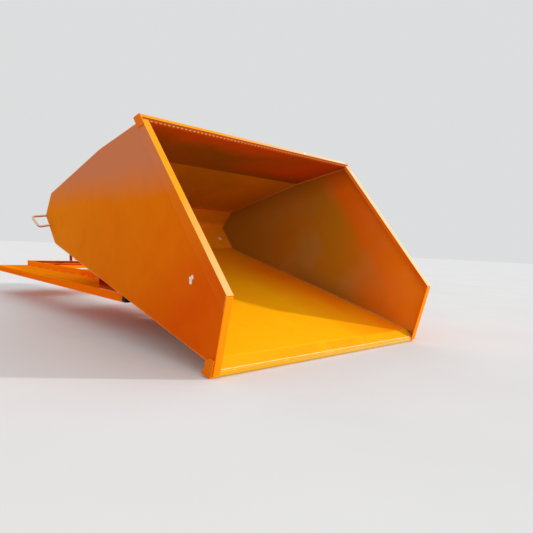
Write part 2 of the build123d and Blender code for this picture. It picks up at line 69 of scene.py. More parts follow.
# paint colours of the bin, linear light
ORANGE = (0.78, 0.19, 0.001, 1)
# ORANGE_HALF_SHADE and ORANGE_LOW_SHADE: the outer orange going darker and redder toward the low front, painted
# shade
ORANGE_HALF_SHADE = (0.77, 0.152, 0.001, 1)
ORANGE_LOW_SHADE = (0.71, 0.085, 0.001, 1)
ORANGE_PALE = (0.90, 0.27, 0.005, 1)
ORANGE_DEEP = (0.62, 0.10, 0.001, 1)
# ORANGE_SKY_SHEEN: a pale painted reflection of the sky
ORANGE_SKY_SHEEN = (0.62, 0.195, 0.088, 1)
BAR_ORANGE = (0.82, 0.18, 0.001, 1)
CAP_ORANGE = (0.80, 0.15, 0.001, 1)
STRIP_ORANGE = (0.94, 0.19, 0.001, 1)
# MOUTH_LIT_ORANGE: painted light on the inner faces by the mouth
MOUTH_LIT_ORANGE = (0.96, 0.21, 0.001, 1)
# AMBER, AMBER_PALE and AMBER_DEEP: the orange paint as it looks lit on the chute, painted light; NOSE_SHADE_AMBER
# and CHUTE_DEEP_SHADE: painted shade
AMBER = (0.96, 0.445, 0.002, 1)
AMBER_PALE = (0.97, 0.50, 0.005, 1)
AMBER_DEEP = (0.90, 0.34, 0.003, 1)
NOSE_SHADE_AMBER = (0.68, 0.28, 0.001, 1)
CHUTE_DEEP_SHADE = (0.98, 0.42, 0.003, 1)
# LIP_AMBER: the lip as the orange paint looks lit, painted light; LIP_HIGHLIGHT: painted highlight
LIP_AMBER = (0.68, 0.34, 0.012, 1)
LIP_HIGHLIGHT = (0.68, 0.40, 0.09, 1)
# RIM_LIT_AMBER, RIM_HIGHLIGHT and FAR_RIM_HIGHLIGHT: the rim tops as the orange paint looks lit, painted light,
# paler to the front and the far side as painted highlight
RIM_LIT_AMBER = (0.72, 0.275, 0.010, 1)
RIM_HIGHLIGHT = (0.72, 0.46, 0.20, 1)
RIM_RUBBED = (0.74, 0.38, 0.05, 1)
FAR_RIM_HIGHLIGHT = (0.74, 0.52, 0.30, 1)
# HANDLE_HIGHLIGHT and HANDLE_SHADE: the handles' painted highlight on top and painted shade underneath
HANDLE_HIGHLIGHT = (0.86, 0.62, 0.42, 1)
HANDLE_SHADE = (0.42, 0.10, 0.04, 1)
# WALL_LOW_SHADE to HEEL_LIT_ORANGE: the inner faces of the rear wall and heel in painted shade, lighter to the
# left and at the heel as painted light
WALL_LOW_SHADE = (0.345, 0.172, 0.006, 1)
WALL_LIT_LEFT = (0.52, 0.215, 0.006, 1)
WALL_SHADE = (0.165, 0.070, 0.004, 1)
WALL_RED_SHADE = (0.46, 0.065, 0.003, 1)
HEEL_HALF_LIT = (0.70, 0.25, 0.003, 1)
HEEL_LIT_ORANGE = (0.96, 0.36, 0.003, 1)
# DUST_AND_SHADE, DUST_AND_SKY_SHEEN and DUST_AND_DEEP_SHADE: a clay dust film on the plates' inner faces that is
# also painted shade and painted sky reflection; INSIDE_SHADE_RED: painted shade on those faces
DUST_AND_SHADE = (0.43, 0.215, 0.010, 1)
DUST_AND_SKY_SHEEN = (0.40, 0.255, 0.045, 1)
DUST_AND_DEEP_SHADE = (0.37, 0.245, 0.025, 1)
INSIDE_SHADE_RED = (0.74, 0.10, 0.001, 1)

# paint colours of the base and the release lever
BASE_ORANGE = (0.97, 0.165, 0.001, 1)
BASE_PALE = (0.98, 0.27, 0.003, 1)
RAIL_ORANGE = (0.97, 0.235, 0.001, 1)
# BEAM_FACE_SHADE and BEAM_SHADE: the cross beams' front faces in painted shade
BEAM_FACE_SHADE = (0.45, 0.026, 0.001, 1)
BEAM_SHADE = (0.13, 0.003, 0.003, 1)
# STOP_SHADE_RED and STOP_BROWN: the tip stops in painted shade
STOP_SHADE_RED = (0.27, 0.006, 0.001, 1)
STOP_BROWN = (0.46, 0.06, 0.002, 1)
# LEVER_SHADE_RED: the release lever in painted shade
LEVER_SHADE_RED = (0.26, 0.010, 0.004, 1)

# dirt, wear and weld colours; the first three are painted shade
BAR_INNER_SHADE = (0.27, 0.045, 0.006, 1)
EDGE_SHADE = (0.30, 0.055, 0.006, 1)
CORNER_SHADE = (0.28, 0.12, 0.006, 1)
RED_OXIDE = (0.34, 0.045, 0.008, 1)
MUD_BROWN = (0.60, 0.17, 0.012, 1)
DRY_DUST = (0.52, 0.22, 0.02, 1)
PRIMER = (0.80, 0.76, 0.70, 1)
SPOT_PALE = (0.95, 0.82, 0.60, 1)
BARE_STEEL = (0.33, 0.31, 0.29, 1)
WELD_PALE = (0.90, 0.60, 0.22, 1)
BEAD_DULL = (0.44, 0.21, 0.04, 1)
BEAD_STITCH = (0.44, 0.11, 0.02, 1)
BEAD_PALE = (0.78, 0.48, 0.13, 1)

# metal, rubber and studio colours
ZINC_LIGHT = (0.62, 0.61, 0.58, 1)
ZINC_DARK = (0.46, 0.46, 0.45, 1)
ZINC_WHITE = (0.74, 0.73, 0.70, 1)
RUST_BROWN = (0.26, 0.11, 0.04, 1)
RUBBER_BLACK = (0.012, 0.011, 0.010, 1)
RUBBER_GREY = (0.05, 0.045, 0.04, 1)
RUBBER_DUST = (0.16, 0.13, 0.10, 1)
BRONZE_BRIGHT = (0.58, 0.36, 0.14, 1)
BRONZE_BROWN = (0.20, 0.10, 0.035, 1)
FLOOR_GREY = (0.74, 0.74, 0.74, 1)
FLOOR_PALE = (0.77, 0.77, 0.77, 1)
SKY_GREY = (0.80, 0.80, 0.80, 1)
BACKDROP = (0.72, 0.725, 0.73, 1)

# noise patterns: scale, the span of the noise that shows, octaves, roughness and stretch by axis
CLOUD = dict(scale=2.3, low=0.36, high=0.66)
PATCH = dict(scale=7.5, low=0.50, high=0.74, detail=5.0)
RAIN_STREAK = dict(scale=1.0, low=0.54, high=0.80, detail=4.0, stretch=(38, 38, 2.2))
SPECK = dict(scale=165.0, low=0.66, high=0.74, detail=2.0)
CHIP = dict(scale=26.0, detail=7.0, rough=0.68)
CHIP_LOW, CHIP_HIGH = 0.735, 0.755
ORANGE_PEEL = dict(scale=310.0, low=0.2, high=0.8, detail=1.0)
DENT = dict(scale=5.0, low=0.2, high=0.8, detail=2.0)
DRIFT_CLOUD = dict(scale=3.4, low=0.2, high=0.8, detail=4.0)
DUST_SHEEN_CLOUD = dict(scale=2.6, low=0.46, high=0.60)
PLATE_SCUFF = dict(scale=1.0, low=0.60, high=0.72, detail=5.0, stretch=(1, 6, 90))
RAGGED = dict(scale=110.0, low=0.2, high=0.8)
RUN_OFF = dict(scale=1.0, low=0.52, high=0.74, detail=5.0, stretch=(14, 14, 0.9))
WALL_GRAIN = dict(scale=18.0, low=0.40, high=0.72, detail=6.0)
CHUTE_SCORE = dict(scale=1.0, low=0.60, high=0.70, detail=6.0, stretch=(150, 1.6, 1))
CHUTE_RUB = dict(scale=1.0, low=0.50, high=0.75, detail=4.0, stretch=(9, 0.8, 1))
SETTLED_DUST = dict(scale=11.0, low=0.20, high=0.45, detail=6.0)
MUD = dict(scale=4.2, low=0.52, high=0.70, detail=7.0, rough=0.62)
DRAG_MARK = dict(scale=1.0, low=0.63, high=0.69, detail=7.0, stretch=(60, 2.2, 60))
SCRAPE = dict(scale=1.0, low=0.66, high=0.71, detail=6.0, stretch=(95, 1.4, 95))
THIN_PAINT = dict(scale=13.0, detail=6.0, rough=0.65)
THIN_LOW, THIN_HIGH = 0.62, 0.72
BARE_SPOT = dict(scale=31.0, low=0.70, high=0.74, detail=6.0, rough=0.7)
ZINC_BLOOM = dict(scale=24.0, low=0.52, high=0.70, detail=6.0)
RUST_SPOT = dict(scale=15.0, low=0.66, high=0.76, detail=7.0)
DRAWN_LINE = dict(scale=1.0, low=0.3, high=0.7, stretch=(25, 900, 900))
RUBBER_BLOOM = dict(scale=9.0, low=0.45, high=0.75, detail=6.0)
RUBBER_SCUFF = dict(scale=1.0, low=0.64, high=0.72, detail=6.0, stretch=(70, 8, 8))
PEBBLE = dict(scale=420.0, low=0.3, high=0.7, detail=2.0)
TARNISH = dict(scale=30.0, low=0.4, high=0.7, detail=6.0)
TURNED_LINE = dict(scale=1.0, low=0.3, high=0.7, detail=2.0, stretch=(700, 12, 12))
SPATTER = dict(scale=240.0, low=0.60, high=0.70, detail=2.0)
FLOOR_CLOUD = dict(scale=1.4, low=0.3, high=0.7)
SPANGLE_SCALE = 140.0

# where the paint changes tone: from none to full, in metres of the rest pose
# SHEEN_RISE: where the painted sky reflection comes in; FALL_LEAN to FALL_RED: where the painted shade of the low
# front comes in
SHEEN_RISE = (0.455, 0.600)
FALL_LEAN = 1.6
FALL_MID = (-0.60, 0.60)
FALL_RED = (0.70, 1.15)
LEFT_TO_RIGHT = (-0.5, 0.5)
DUST_SHADE_REACH = (1.36, 0.86)
DEEP_SHADE_REACH = (0.42, 0.02)
MOUTH_REACH = (0.80, 1.25)
FAR_HALF = (0.3, -0.3)
DUST_SHADE_FLOOR = (-0.12, -0.02)
CHUTE_CORNER = (0.13, 0.04)
CHUTE_CORNER_FRONT = (0.40, 0.60)
RIM_HIGHLIGHT_REACH = (1.15, 1.47)
RIM_FAR = (0.3, -0.55)
WALL_LEFT = (0.05, -0.42)
CHUTE_LEFT = (-0.15, -0.52)
CHUTE_REAR = (0.35, -0.10)
LIP_LEFT = (0.35, -0.45)
STOP_FOOT = (0.068, 0.048)
KNOCK_RAGGED = 0.008
KNOCK_EDGE = (0.004, 0.001)
KNOCKS = ((1.243, 0.1665, 0.0095), (1.229, 0.1615, 0.0080), (1.233, 0.1495, 0.0105))
PLATE_SPLIT = 0.0002

# the same in metres of the upright bin, whose origin is the tipping axis
DUST_SHADE_TOP = (0.98, 0.84)
WALL_LEAN = 0.63
WALL_CORNER = (0.16, 0.03)
WALL_RUDDY = (0.70, 0.84)
UNDER_RIM = (0.90, 1.06)
HEEL_TOP = (0.17, 0.10)
HEEL_FOOT = (0.0, -0.03)
KNEE_ABOUT = 0.712
KNEE_SOFT = 0.006
FLANGE_DEPTH = 0.05
INNER_LINE = (0.0135, 0.0115)
PALE_SPOT_AT = (-0.565, -0.304, -0.051)
PALE_SPOT_EDGE = (0.014, 0.018)
BAR_CHIP = (-0.300, 0.096, 1.065)
BAR_CHIP_EDGE = (0.006, 0.011)

# which way a face looks: the part of its normal, from none to full
TOP_FACE = (0.55, 0.85)
UP_FACE = (0.6, 0.9)
FRONT_FACE = (0.3, 0.6)
INNER_FACE = (-0.06, 0.06)
UNDER_FACE = (-0.05, -0.2)
NOSE_FACE = (0.985, 0.93)
HANDLE_UNDER = (0.15, -0.25)

# edge easing, metres and degrees
CUT_EDGE = 0.0011
RIM_EDGE = 0.0020
BAR_EDGE = 0.0015
BUFFER_EDGE = 0.004
FOLD = 0.006
SMALL_FOLD = 0.004
BEAM_FOLD = 0.002
TUBE_CORNER = 0.009
FOLD_STEPS = 4
EDGE_STEPS = 2
LONG_EDGE = 0.10
THIN_FACE = 0.0075
MERGE = 0.00001
STRAIGHT = 0.999
FLAT_WITHIN = 0.5
BEND_OVER = 8
EDGE_OVER = 32
SHEET_SMOOTH = 35
BEAD_SMOOTH = 60

# weld beads, metres
FILLET = 0.0042
CORNER_BEAD = 0.0026
LEG_BEAD = 0.0022
LIP_BEAD = 0.0028
RIPPLE = 0.0075
RIPPLE_SWELL = 1.16
BEAD_END = 0.5
BEAD_FACETS = 8
FEWEST_RINGS = 3
LOW_COUNTS = 5
HIGH_COUNTS = 0.1
SHEET = 0.004
SEAM_OFF = 0.0012
SEAM_SINK = 0.0002
SEAM_SKIN = 0.002
RIM_SLACK = 0.001
SEAM_CLEAR = 0.004
HEEL_BEAD_AT = Vector((0.0055, -0.001))
TOE_BEAD_AT = Vector((0.002, 0.0008))
TOE_ALONG = 0.002
TOE_OFF = 0.001
LIP_BEAD_BACK = Vector((0.0115, -0.0012))
LEG_OFF = 0.0006
LEG_FRONT = 0.03
LEG_STITCH = (LEG_BEAD, 0.03, 0.125)
REAR_STITCH = (CORNER_BEAD, 0.012, 0.020)
REAR_STITCH_AT = (0.0005, -0.0045)
CHANNEL_STITCH = (FILLET, 0.06, 0.17)
END_GAP = 0.002
BEAM_GAP = 0.004
BEAM_FOOT = 0.006
BEAM_TOP = 0.001

# light and camera
FLOOR_SIZE = 80
FLOOR_ROUGH = 0.9
KEY_AT = (-4, 4, 3)
KEY_WAY = Vector((0.772, -0.608, -0.185))
KEY_POWER = 3.5
KEY_SPREAD = 2.5
FILL_AT = (0.3, 7.0, 1.6)
FILL_WAY = Vector((-0.04, -0.98, -0.19))
FILL_POWER = 0.62
FILL_SPREAD = 45
CAMERA_AT = (1.585, 2.678, 0.287)
CAMERA_TURN = (80.92, -2.474, 137.649)
SENSOR_WIDTH = 36
LENS = 31.8775
LENS_SHIFT = (-0.00657, 0.10413)

# places that the frame gives
tip = next(joint for joint in frame["joints"] if joint["name"] == "tip")
tip_angle = math.radians(tip["range_deg"][1])
upright_to_row = Matrix.Translation(Vector(tip["pos_m"])) @ Matrix.Rotation(-tip_angle, 4, "X")
row_to_upright = upright_to_row.inverted()
upright_top = upright_to_row.to_3x3() @ Vector((0, 0, 1))
bin_turn = {"turn": (tip_angle, 0, 0), "shift": row_to_upright.to_translation()}


def upright_points(node):
    """A node's corners in the upright bin's frame."""
    return [row_to_upright @ corner.co for corner in nodes[node].data.vertices]


chute_low, chute_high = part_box("chute_plate")
pour_slope = math.atan2(chute_high.z - chute_low.z, chute_high.y - chute_low.y)
chute_top = Vector((0, math.sin(pour_slope), math.cos(pour_slope)))
chute_level = chute_top.dot(Vector((0, chute_low.y, chute_high.z)))
plate_low, plate_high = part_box("side_plate_right")
plate_inner, plate_outer = plate_low.x, plate_high.x
plate_middle = (plate_inner + plate_outer) / 2
wall_points = upright_points("rear_wall")
flange_top = max(p.z for p in wall_points)
flange_face = max(p.y for p in wall_points if p.z > flange_top - FLANGE_DEPTH)
knee_height = min((round(p.z, 3) for p in wall_points), key=lambda z: abs(z - KNEE_ABOUT))


class Finish:
    """One painted, plated or moulded finish, layered on the Principled shader."""

    def __init__(self, name, turn=(0, 0, 0), shift=(0, 0, 0)):
        self.material = bpy.data.materials.new(name)
        self.material.use_nodes = True
        self.tree = self.material.node_tree
        self.shader = self.tree.nodes["Principled BSDF"]
        place = self.add("TexCoord").outputs
        self.row, self.normal = place["Object"], place["Normal"]
        self.where = self.add("Mapping", {"Vector": self.row, "Rotation": turn, "Location": shift}).outputs[0]

    def add(self, kind, inputs=None, **settings):
        made = self.tree.nodes.new("ShaderNode" + kind)
        for key, value in settings.items():
            setattr(made, key, value)
        for key, value in (inputs or {}).items():
            self.feed(value, made.inputs[key])
        return made

    def feed(self, value, socket):
        if isinstance(value, bpy.types.NodeSocket):
            self.tree.links.new(value, socket)
        else:
            socket.default_value = value

    def part(self, vector, axis):
        return self.add("SeparateXYZ", {"Vector": vector}).outputs[axis]

    def parts(self, vector):
        return [self.part(vector, axis) for axis in range(3)]

    def math(self, operation, a, b=0.0):
        return self.add("Math", {0: a, 1: b}, operation=operation).outputs[0]

    def plus(self, a, b):
        return self.math("ADD", a, b)

    def less(self, a, b):
        return self.math("SUBTRACT", a, b)

    def both(self, a, b):
        return self.math("MULTIPLY", a, b)

    def most(self, a, b):
        return self.math("MAXIMUM", a, b)

    def inverse(self, mask):
        return self.less(1.0, mask)

    def dot(self, a, b):
        return self.add("VectorMath", {0: a, 1: b}, operation="DOT_PRODUCT").outputs["Value"]

    def distance(self, a, b):
        return self.add("VectorMath", {0: a, 1: b}, operation="DISTANCE").outputs["Value"]

    def window(self, value, low, high):
        """A mask that goes from none at low to full at high."""
        return self.add("MapRange", {"Value": value, "From Min": low, "From Max": high}).outputs[0]

    def near(self, centre, low, high):
        """A mask that is full within low of a place and none beyond high."""
        return self.window(self.distance(self.where, centre), high, low)

    def noise(self, scale, low=0.4, high=0.6, detail=3.0, stretch=None, rough=0.55):
        spot = self.where
        if stretch:
            spot = self.add("Mapping", {"Vector": spot, "Scale": stretch}).outputs[0]
        grain = self.add("TexNoise", {"Vector": spot, "Scale": scale, "Detail": detail, "Roughness": rough})
        return self.window(grain.outputs[0], low, high)

    def mix(self, mask, under, over):
        return self.add("MixRGB", {"Fac": mask, "Color1": under, "Color2": over}).outputs[0]

    def tint(self, under, over, mask, amount):
        """Lays a colour over another where the mask is, at most by the amount."""
        return self.mix(self.both(mask, amount), under, over)

    def roughness(self, base, *layers):
        """A base value, and each layer's mask times its weight on top."""
        total = None
        for mask, weight in layers:
            layer = self.both(mask, weight)
            total = self.plus(total, layer) if total else layer
        return self.plus(total, base)

    def surface(self, colour, rough, layers=(), **constants):
        """Feeds the shader: colour, roughness, bumps (height, strength, metres) on one another, constants."""
        self.feed(colour, self.shader.inputs["Base Color"])
        self.feed(rough, self.shader.inputs["Roughness"])
        below = None
        for height, strength, depth in layers:
            bump = self.add("Bump", {"Height": height, "Strength": strength, "Distance": depth})
            if below:
                self.feed(below, bump.inputs["Normal"])
            below = bump.outputs[0]
        if below:
            self.feed(below, self.shader.inputs["Normal"])
        for key, value in constants.items():
            self.shader.inputs[key.replace("_", " ")].default_value = value
        return self.material


def sprayed_enamel(finish, colour, pale, deep, grime=0.15, chips=0.0, sheen_mask=None):
    """Sprayed paint: faintly cloudy film, rain streaks, specks, orange peel and chips; where a sheen mask is
    given, a pale painted reflection of the sky.
    """
    film = finish.tint(colour, pale, finish.noise(**CLOUD), amount=0.22)
    patch = finish.noise(**PATCH)
    film = finish.tint(film, deep, patch, amount=0.20)
    streak = finish.noise(**RAIN_STREAK)
    film = finish.tint(film, DRY_DUST, streak, grime)
    # painted reflection: a pale sky sheen where the mask is
    if sheen_mask is not None:
        film = finish.mix(sheen_mask, film, ORANGE_SKY_SHEEN)
    film = finish.tint(film, deep, finish.noise(**SPECK), amount=0.30)
    chip = finish.noise(low=CHIP_LOW - chips, high=CHIP_HIGH - chips, **CHIP)
    film = finish.tint(film, RED_OXIDE, chip, amount=0.85)
    rough = finish.roughness(0.44, (patch, 0.10), (streak, 0.14), (chip, 0.25))
    layers = [
        (finish.noise(**DENT), 0.2, 0.004),
        (finish.noise(**ORANGE_PEEL), 0.10, 0.0004),
        (finish.inverse(chip), 0.5, 0.0006),
    ]
    return film, rough, layers


def painted(name, colour, pale, deep, grime=0.15, chips=0.0, upright=True):
    finish = Finish(name, **(bin_turn if upright else {}))
    film, rough, layers = sprayed_enamel(finish, colour, pale, deep, grime, chips)
    return finish.surface(film, rough, layers, Specular_IOR_Level=0.03)


def drift(finish, along, low, high, ragged):
    """A soft change of tone along a value, broken up by cloudy noise."""
    cloud = finish.both(finish.less(finish.noise(**DRIFT_CLOUD), 0.5), ragged)
    return finish.window(finish.plus(along, cloud), low, high)


def shaded_low_front(finish, forward, height):
    """Painted shade: plain orange at the top and rear, going darker and redder down to the front."""
    fall = finish.less(forward, finish.both(height, FALL_LEAN))
    coat = finish.mix(drift(finish, fall, *FALL_MID, ragged=0.2), ORANGE, ORANGE_HALF_SHADE)
    return finish.mix(drift(finish, fall, *FALL_RED, ragged=0.2), coat, ORANGE_LOW_SHADE)


def painted_sky_sheen(finish, across, height, least, more):
    """How strong the painted sky reflection is: only near the top, least on the left and by so much more on the
    right.
    """
    by_side = finish.plus(finish.both(finish.window(across, *LEFT_TO_RIGHT), more), least)
    return finish.both(drift(finish, height, *SHEEN_RISE, ragged=0.04), by_side)


def plate_inside(finish, film, indoors):
    """The plate's inner face: red as painted shade, lighter orange by the mouth as painted light, under a film of
    dust, painted shade and painted sky reflection, darker in the corners as painted shade.
    """
    across, forward, _ = finish.parts(finish.row)
    _, ahead, rise = finish.parts(finish.where)
    above_chute = finish.less(finish.dot(finish.row, chute_top), chute_level)
    dust_shade_edge = finish.both(finish.window(rise, *DUST_SHADE_TOP), finish.window(above_chute, *DUST_SHADE_FLOOR))
    deep_in = finish.both(drift(finish, forward, *DUST_SHADE_REACH, ragged=0.16), indoors)
    # dust film with painted shade and painted sky reflection, darker deep in as painted shade
    dust_shade_tone = finish.mix(finish.noise(**DUST_SHEEN_CLOUD), DUST_AND_SHADE, DUST_AND_SKY_SHEEN)
    dust_shade_tone = finish.mix(drift(finish, forward, *DEEP_SHADE_REACH, ragged=0.2), dust_shade_tone, DUST_AND_DEEP_SHADE)
    # painted shade: the inner faces redder
    film = finish.tint(film, INSIDE_SHADE_RED, indoors, amount=0.8)
    mouth = finish.both(finish.window(forward, *MOUTH_REACH), indoors)
    # painted light: lighter orange toward the mouth
    film = finish.tint(film, MOUTH_LIT_ORANGE, mouth, finish.inverse(deep_in))
    dust_and_shade_mask = finish.both(finish.both(deep_in, dust_shade_edge), finish.window(across, *FAR_HALF))
    film = finish.tint(film, dust_shade_tone, finish.most(dust_and_shade_mask, 0.3), finish.both(indoors, 0.95))
    # painted shade in the corners by the wall and by the chute
    wall_foot = flange_face - flange_top * WALL_LEAN
    off_wall = finish.less(finish.less(ahead, finish.both(rise, WALL_LEAN)), wall_foot)
    by_wall = finish.window(off_wall, *WALL_CORNER)
    by_chute = finish.window(above_chute, *CHUTE_CORNER)
    by_chute = finish.both(by_chute, finish.window(forward, *CHUTE_CORNER_FRONT))
    film = finish.tint(film, CORNER_SHADE, finish.most(by_wall, by_chute), finish.both(deep_in, 0.55))
    return finish.tint(film, DRY_DUST, finish.both(finish.noise(**PLATE_SCUFF), indoors), amount=0.18)


def knocked(finish, outside):
    """Where the outer face is knocked through to the primer: a few ragged spots."""
    ragged = finish.both(finish.noise(**RAGGED), KNOCK_RAGGED)
    knocks = 0.0
    for y, z, size in KNOCKS:
        gap = finish.plus(finish.distance(finish.row, (plate_outer, y, z)), ragged)
        knocks = finish.most(knocks, finish.window(gap, *(size + edge for edge in KNOCK_EDGE)))
    return finish.both(knocks, outside)


def side_plate_paint():
    """Outside: orange going darker and redder down to the front as painted shade, with a pale painted sky
    reflection at the top. Inside: painted shade and dust away from the mouth.
    """
    finish = Finish("side_plate_orange", **bin_turn)
    across, forward, height = finish.parts(finish.row)
    sideways = finish.math("ABSOLUTE", across)
    outside = finish.window(sideways, plate_middle - PLATE_SPLIT, plate_middle + PLATE_SPLIT)
    indoors = finish.inverse(outside)
    # painted shade toward the low front, and a painted sky reflection near the top
    coat = shaded_low_front(finish, forward, height)
    sky_sheen = finish.both(painted_sky_sheen(finish, across, height, least=0.25, more=0.70), outside)
    film, rough, layers = sprayed_enamel(finish, coat, ORANGE_PALE, ORANGE_DEEP, grime=0.08, sheen_mask=sky_sheen)
    film = plate_inside(finish, film, indoors)
    knocks = knocked(finish, outside)
    film = finish.mix(knocks, film, PRIMER)
    layers.append((finish.inverse(knocks), 0.6, 0.0006))
    rough = finish.plus(rough, finish.both(indoors, 0.15))
    return finish.surface(film, rough, layers, Specular_IOR_Level=0.003)


def wall_paint():
    """Rear wall and heel: streaked orange outside; inside painted shade, dark and red under the rim, lighter to
    the left and at the heel as painted light.
    """
    finish = Finish("wall_orange", **bin_turn)
    film, rough, layers = sprayed_enamel(finish, ORANGE, ORANGE_PALE, ORANGE_DEEP, grime=0.35, chips=0.035)
    film = finish.tint(film, ORANGE_DEEP, finish.noise(**RUN_OFF), amount=0.30)
    indoors = finish.window(finish.part(finish.normal, 1), *INNER_FACE)
    height = finish.part(finish.where, 2)
    # inside: painted shade, darkest above the knee, redder under the rim, lighter to the left and at the heel as
    # painted light
    left = drift(finish, finish.part(finish.row, 0), *WALL_LEFT, ragged=0.5)
    shade = finish.mix(left, WALL_LOW_SHADE, WALL_LIT_LEFT)
    above_knee = finish.window(height, knee_height - KNEE_SOFT, knee_height + KNEE_SOFT)
    shade = finish.mix(above_knee, shade, WALL_SHADE)
    ruddy = finish.both(left, finish.window(height, *WALL_RUDDY))
    ruddy = finish.most(ruddy, drift(finish, height, *UNDER_RIM, ragged=0.22))
    shade = finish.mix(ruddy, shade, WALL_RED_SHADE)
    shade = finish.mix(drift(finish, height, *HEEL_TOP, ragged=0.02), shade, HEEL_HALF_LIT)
    shade = finish.mix(finish.window(height, *HEEL_FOOT), shade, HEEL_LIT_ORANGE)
    shade = finish.tint(shade, RED_OXIDE, finish.noise(**WALL_GRAIN), amount=0.12)
    film = finish.tint(film, shade, indoors, amount=0.95)
    # a pale spot on the heel
    film = finish.mix(finish.near(PALE_SPOT_AT, *PALE_SPOT_EDGE), film, SPOT_PALE)
    rough = finish.plus(rough, finish.both(indoors, 0.15))
    return finish.surface(film, rough, layers, Specular_IOR_Level=0.03)


def rim_paint(name, legs=None, shaded_line=False):
    """Rim: amber on top as the lit paint, paler to the front and left as painted highlight; its legs take the
    plates' painted shade and painted sky reflection unless given a colour.
    """
    finish = Finish(name, **bin_turn)
    across, forward, height = finish.parts(finish.row)
    # painted light on the top: lit amber, with a painted highlight to the front and the far side
    top = finish.tint(RIM_LIT_AMBER, RIM_HIGHLIGHT, drift(finish, forward, *RIM_HIGHLIGHT_REACH, ragged=0.08), amount=0.80)
    top = finish.mix(finish.window(across, *RIM_FAR), top, FAR_RIM_HIGHLIGHT)
    if legs is None:
        # the legs: painted shade toward the low front and a painted sky reflection near the top
        legs = finish.mix(0.08, shaded_low_front(finish, forward, height), ORANGE)
        legs = finish.mix(painted_sky_sheen(finish, across, height, least=0.20, more=0.65), legs, ORANGE_SKY_SHEEN)
    # the top face takes the lit colour, the legs the shaded one: painted light and shade
    on_top = finish.window(finish.dot(finish.normal, upright_top), *TOP_FACE)
    coat = finish.mix(on_top, legs, top)
    film, rough, layers = sprayed_enamel(finish, coat, coat, ORANGE, grime=0.06, chips=0.01)
    if shaded_line:
        # painted shade: a dark red line along the inner edge of the bar's top
        inner_line = finish.window(finish.part(finish.where, 1), *(flange_face - back for back in INNER_LINE))
        film = finish.mix(inner_line, film, BAR_INNER_SHADE)
        film = finish.mix(finish.near(BAR_CHIP, *BAR_CHIP_EDGE), film, PRIMER)
    return finish.surface(film, rough, layers, Specular_IOR_Level=0.01)


def chute_paint():
    """The sliding floor: amber, the orange paint as it looks lit, painted light, scored along the pour; redder by
    the left plate, at the deep end and on the nose as painted shade; plain orange underneath.
    """
    finish = Finish("chute_amber", turn=(pour_slope, 0, 0))
    across, forward, _ = finish.parts(finish.row)
    # painted shade: redder by the left plate, at the deep end and on the nose face
    coat = finish.tint(AMBER, STRIP_ORANGE, drift(finish, across, *CHUTE_LEFT, ragged=0.1), amount=0.88)
    coat = finish.mix(drift(finish, forward, *CHUTE_REAR, ragged=0.1), coat, CHUTE_DEEP_SHADE)
    nose = finish.window(finish.dot(finish.normal, chute_top), *NOSE_FACE)
    coat = finish.mix(nose, coat, NOSE_SHADE_AMBER)
    film, rough, layers = sprayed_enamel(finish, coat, AMBER_PALE, AMBER_DEEP, grime=0.0)
    score = finish.noise(**CHUTE_SCORE)
    film = finish.tint(film, ORANGE_DEEP, score, amount=0.14)
    film = finish.tint(film, AMBER_PALE, finish.noise(**CHUTE_RUB), amount=0.30)
    underneath = finish.window(finish.part(finish.normal, 2), *UNDER_FACE)
    film = finish.mix(underneath, film, ORANGE)
    layers.append((score, 0.2, 0.0004))
    rough = finish.plus(rough, finish.both(score, 0.1))
    return finish.surface(film, rough, layers, Specular_IOR_Level=0.04)


def base_paint(name, coat=BASE_ORANGE, front_shade=None):
    """Base frame: orange, with dust, mud and drag marks on top and scrapes along the fork way; where a shade
    colour is given, the faces that look forward take it as painted shade.
    """
    finish = Finish(name)
    film, rough, layers = sprayed_enamel(finish, coat, coat, ORANGE_DEEP, grime=0.06, chips=0.02)
    on_top = finish.window(finish.part(finish.normal, 2), *UP_FACE)
    settled = finish.both(on_top, finish.noise(**SETTLED_DUST))
    film = finish.tint(film, BASE_PALE, settled, amount=0.9)
    film = finish.tint(film, MUD_BROWN, finish.both(on_top, finish.noise(**MUD)), amount=0.42)
    film = finish.tint(film, RED_OXIDE, finish.both(finish.noise(**DRAG_MARK), on_top), amount=0.35)
    # painted shade on the faces that look forward
    if front_shade:
        in_front = finish.window(finish.part(finish.normal, 1), *FRONT_FACE)
        film = finish.tint(film, front_shade, in_front, amount=0.92)
    scrape = finish.noise(**SCRAPE)
    film = finish.tint(film, RED_OXIDE, scrape, amount=0.40)
    layers.append((finish.inverse(scrape), 0.3, 0.0005))
    rough = finish.plus(rough, finish.both(settled, 0.2))
    return finish.surface(film, rough, layers, Specular_IOR_Level=0.0)


def stop_paint():
    """Tip stops: dark red, painted shade, browner toward the foot."""
    finish = Finish("stop_red")
    # painted shade: dark red, browner toward the foot
    foot = drift(finish, finish.part(finish.row, 2), *STOP_FOOT, ragged=0.01)
    coat = finish.mix(foot, STOP_SHADE_RED, STOP_BROWN)
    film, rough, layers = sprayed_enamel(finish, coat, coat, RED_OXIDE, grime=0.04, chips=0.02)
    return finish.surface(film, rough, layers, Specular_IOR_Level=0.0)


def handle_paint():
    """Grab handles: a pale painted highlight on top, a brown painted shade underneath."""
    finish = Finish("handle_rubbed")
    # painted highlight on top, painted shade underneath
    under = finish.window(finish.part(finish.normal, 2), *HANDLE_UNDER)
    coat = finish.mix(under, HANDLE_HIGHLIGHT, HANDLE_SHADE)
    film, rough, layers = sprayed_enamel(finish, coat, coat, ORANGE_DEEP, grime=0.05, chips=0.03)
    return finish.surface(film, rough, layers, Specular_IOR_Level=0.10)


